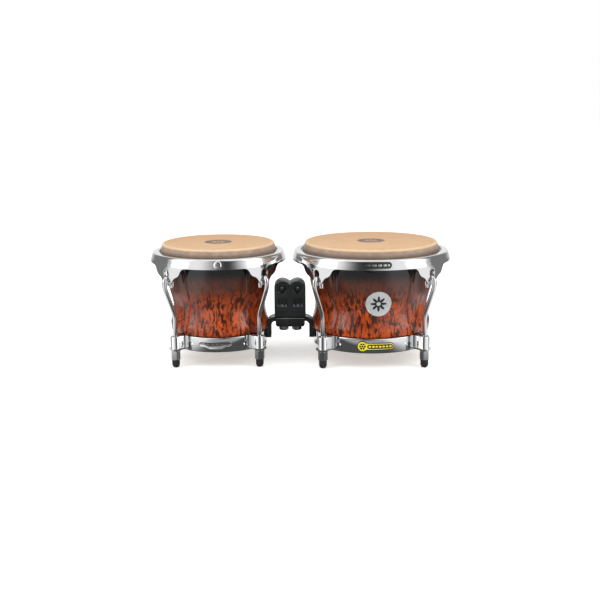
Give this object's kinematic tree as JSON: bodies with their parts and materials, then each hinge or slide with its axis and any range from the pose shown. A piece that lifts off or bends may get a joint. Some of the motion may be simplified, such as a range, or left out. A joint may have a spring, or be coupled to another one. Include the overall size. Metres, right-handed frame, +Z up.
{
  "type": "bongo drums",
  "caption": "Pair of joined hand drums with turned wooden shells, skin heads, chrome rims held by J-hooks, base bands and short rubber-tipped feet, on a shared black centre block.",
  "frame": {"origin": "on the floor under the middle of the pair, between the outer ends of the two rims", "axes": "+Z up, +X from the small drum to the large drum, -Y towards the side with the badges"},
  "size_m": [0.4668, 0.2458, 0.185],
  "materials": {
    "lacquered_wood": "gloss lacquered burl, dark streaks, faded to black at the top",
    "skin": "natural tan hide, matt",
    "chrome": "polished chrome plate",
    "steel": "bare steel",
    "rubber": "matt black rubber",
    "black_plastic": "satin black moulding",
    "black_metal": "black powder coat",
    "brushed_badge": "brushed round badge",
    "yellow_print": "yellow enamelled plate with dark border"
  },
  "bodies": {
    "root": {"macho_shell": "lacquered_wood", "macho_head_skin": "skin", "macho_base_band": "chrome", "macho_bracket_front_left": "chrome", "macho_washer_front_left": "chrome", "macho_bracket_front_right": "chrome", "macho_washer_front_right": "chrome", "macho_bracket_back_right": "chrome", "macho_washer_back_right": "chrome", "macho_bracket_back_left": "chrome", "macho_washer_back_left": "chrome", "hembra_shell": "lacquered_wood", "hembra_head_skin": "skin", "hembra_base_band": "chrome", "hembra_bracket_front_left": "chrome", "hembra_washer_front_left": "chrome", "hembra_bracket_front_right": "chrome", "hembra_washer_front_right": "chrome", "hembra_bracket_back_right": "chrome", "hembra_washer_back_right": "chrome", "hembra_bracket_back_left": "chrome", "hembra_washer_back_left": "chrome", "macho_band_plate": "chrome", "hembra_band_label": "yellow_print", "hembra_shell_badge": "brushed_badge", "centre_block": "black_plastic", "macho_block_arm": "black_metal", "hembra_block_arm": "black_metal", "block_clamp_plate": "black_metal", "block_bolt_left": "black_metal", "block_bolt_right": "black_metal"},
    "macho_rim_set": {"macho_rim": "chrome", "macho_flesh_hoop": "steel", "macho_hook_front_left": "chrome", "macho_hook_front_right": "chrome", "macho_hook_back_right": "chrome", "macho_hook_back_left": "chrome"},
    "macho_nut_front_left": {"macho_nut_front_left": "chrome", "macho_foot_tip_front_left": "rubber"},
    "macho_nut_front_right": {"macho_nut_front_right": "chrome", "macho_foot_tip_front_right": "rubber"},
    "macho_nut_back_right": {"macho_nut_back_right": "chrome", "macho_foot_tip_back_right": "rubber"},
    "macho_nut_back_left": {"macho_nut_back_left": "chrome", "macho_foot_tip_back_left": "rubber"},
    "hembra_rim_set": {"hembra_rim": "chrome", "hembra_flesh_hoop": "steel", "hembra_hook_front_left": "chrome", "hembra_hook_front_right": "chrome", "hembra_hook_back_right": "chrome", "hembra_hook_back_left": "chrome"},
    "hembra_nut_front_left": {"hembra_nut_front_left": "chrome", "hembra_foot_tip_front_left": "rubber"},
    "hembra_nut_front_right": {"hembra_nut_front_right": "chrome", "hembra_foot_tip_front_right": "rubber"},
    "hembra_nut_back_right": {"hembra_nut_back_right": "chrome", "hembra_foot_tip_back_right": "rubber"},
    "hembra_nut_back_left": {"hembra_nut_back_left": "chrome", "hembra_foot_tip_back_left": "rubber"}
  },
  "joints": [
    {"name": "macho_tuning", "type": "slide", "parent": "root", "child": "macho_rim_set", "axis": [0, 0, -1], "range_m": [0, 0.0035]},
    {"name": "macho_nut_turn_front_left", "type": "hinge", "parent": "root", "child": "macho_nut_front_left", "pos_m": [-0.19235, -0.06435, 0.02], "axis": [0, 0, 1], "range_deg": [0, 1008]},
    {"name": "macho_nut_turn_front_right", "type": "hinge", "parent": "root", "child": "macho_nut_front_right", "pos_m": [-0.06365, -0.06435, 0.02], "axis": [0, 0, 1], "range_deg": [0, 1008]},
    {"name": "macho_nut_turn_back_right", "type": "hinge", "parent": "root", "child": "macho_nut_back_right", "pos_m": [-0.06365, 0.06435, 0.02], "axis": [0, 0, 1], "range_deg": [0, 1008]},
    {"name": "macho_nut_turn_back_left", "type": "hinge", "parent": "root", "child": "macho_nut_back_left", "pos_m": [-0.19235, 0.06435, 0.02], "axis": [0, 0, 1], "range_deg": [0, 1008]},
    {"name": "hembra_tuning", "type": "slide", "parent": "root", "child": "hembra_rim_set", "axis": [0, 0, -1], "range_m": [0, 0.0035]},
    {"name": "hembra_nut_turn_front_left", "type": "hinge", "parent": "root", "child": "hembra_nut_front_left", "pos_m": [0.03314, -0.07736, 0.02], "axis": [0, 0, 1], "range_deg": [0, 1008]},
    {"name": "hembra_nut_turn_front_right", "type": "hinge", "parent": "root", "child": "hembra_nut_front_right", "pos_m": [0.18786, -0.07736, 0.02], "axis": [0, 0, 1], "range_deg": [0, 1008]},
    {"name": "hembra_nut_turn_back_right", "type": "hinge", "parent": "root", "child": "hembra_nut_back_right", "pos_m": [0.18786, 0.07736, 0.02], "axis": [0, 0, 1], "range_deg": [0, 1008]},
    {"name": "hembra_nut_turn_back_left", "type": "hinge", "parent": "root", "child": "hembra_nut_back_left", "pos_m": [0.03314, 0.07736, 0.02], "axis": [0, 0, 1], "range_deg": [0, 1008]}
  ],
  "couplings": [
    {"joint": "macho_nut_turn_front_left", "follows": "macho_tuning", "rad_per_m": 5026.5},
    {"joint": "macho_nut_turn_front_right", "follows": "macho_tuning", "rad_per_m": 5026.5},
    {"joint": "macho_nut_turn_back_right", "follows": "macho_tuning", "rad_per_m": 5026.5},
    {"joint": "macho_nut_turn_back_left", "follows": "macho_tuning", "rad_per_m": 5026.5},
    {"joint": "hembra_nut_turn_front_left", "follows": "hembra_tuning", "rad_per_m": 5026.5},
    {"joint": "hembra_nut_turn_front_right", "follows": "hembra_tuning", "rad_per_m": 5026.5},
    {"joint": "hembra_nut_turn_back_right", "follows": "hembra_tuning", "rad_per_m": 5026.5},
    {"joint": "hembra_nut_turn_back_left", "follows": "hembra_tuning", "rad_per_m": 5026.5}
  ]
}
